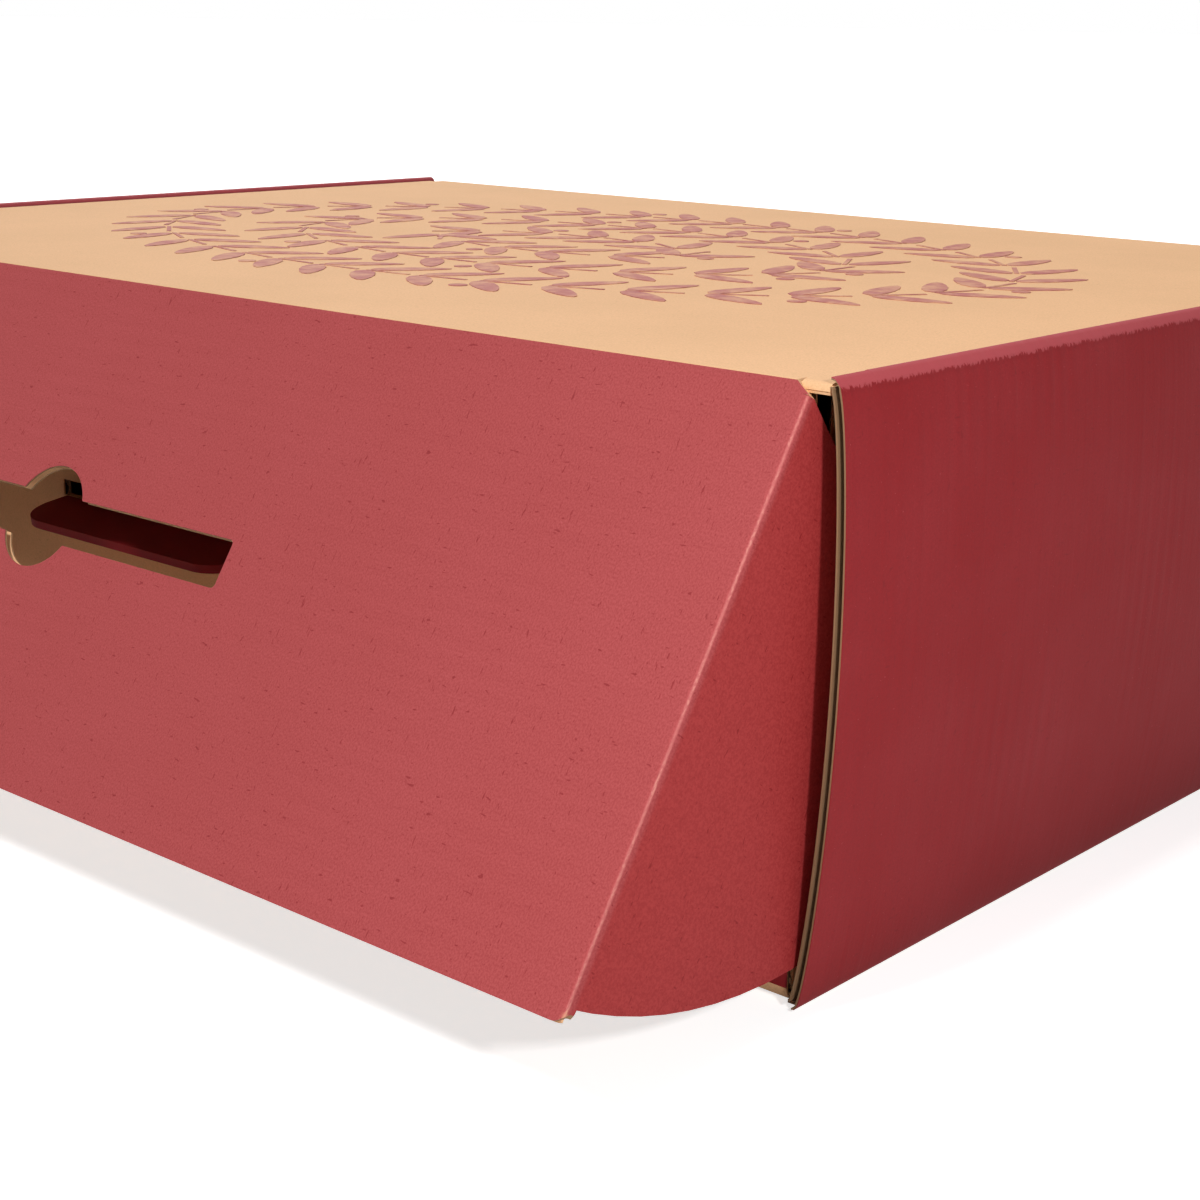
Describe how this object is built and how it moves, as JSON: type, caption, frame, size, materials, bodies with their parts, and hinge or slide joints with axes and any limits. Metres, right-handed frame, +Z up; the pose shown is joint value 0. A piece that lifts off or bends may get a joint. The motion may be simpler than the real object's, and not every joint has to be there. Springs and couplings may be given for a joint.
{
  "type": "cardboard handle box",
  "caption": "Folded corrugated mailer box with rolled side walls, a tucked lid and a slotted front flap that swings on its fold.",
  "frame": {"origin": "middle of the base's underside, between the feet of the side walls", "axes": "+X to the right along the front, +Y to the back, +Z up; the front flap hangs on the -Y side"},
  "size_m": [0.2952, 0.2576, 0.0909],
  "materials": {
    "kraft_board": "matt unprinted kraft liner with fibres",
    "burgundy_print": "matt burgundy ink on kraft liner",
    "lid_ink": "matt burgundy ink, thin on kraft"
  },
  "bodies": {
    "box": {"tray_and_lid": "kraft_board", "side_print_right": "burgundy_print", "side_print_left": "burgundy_print", "back_print": "burgundy_print", "front_wall_print": "burgundy_print", "lid_print": "lid_ink"},
    "flap": {"front_flap": "kraft_board", "flap_print": "burgundy_print"}
  },
  "joints": [
    {"name": "flap_fold", "type": "hinge", "parent": "box", "child": "flap", "pos_m": [0, -0.105, 0.09], "axis": [-1, 0, 0], "range_deg": [-32.5, 57.5]}
  ]
}
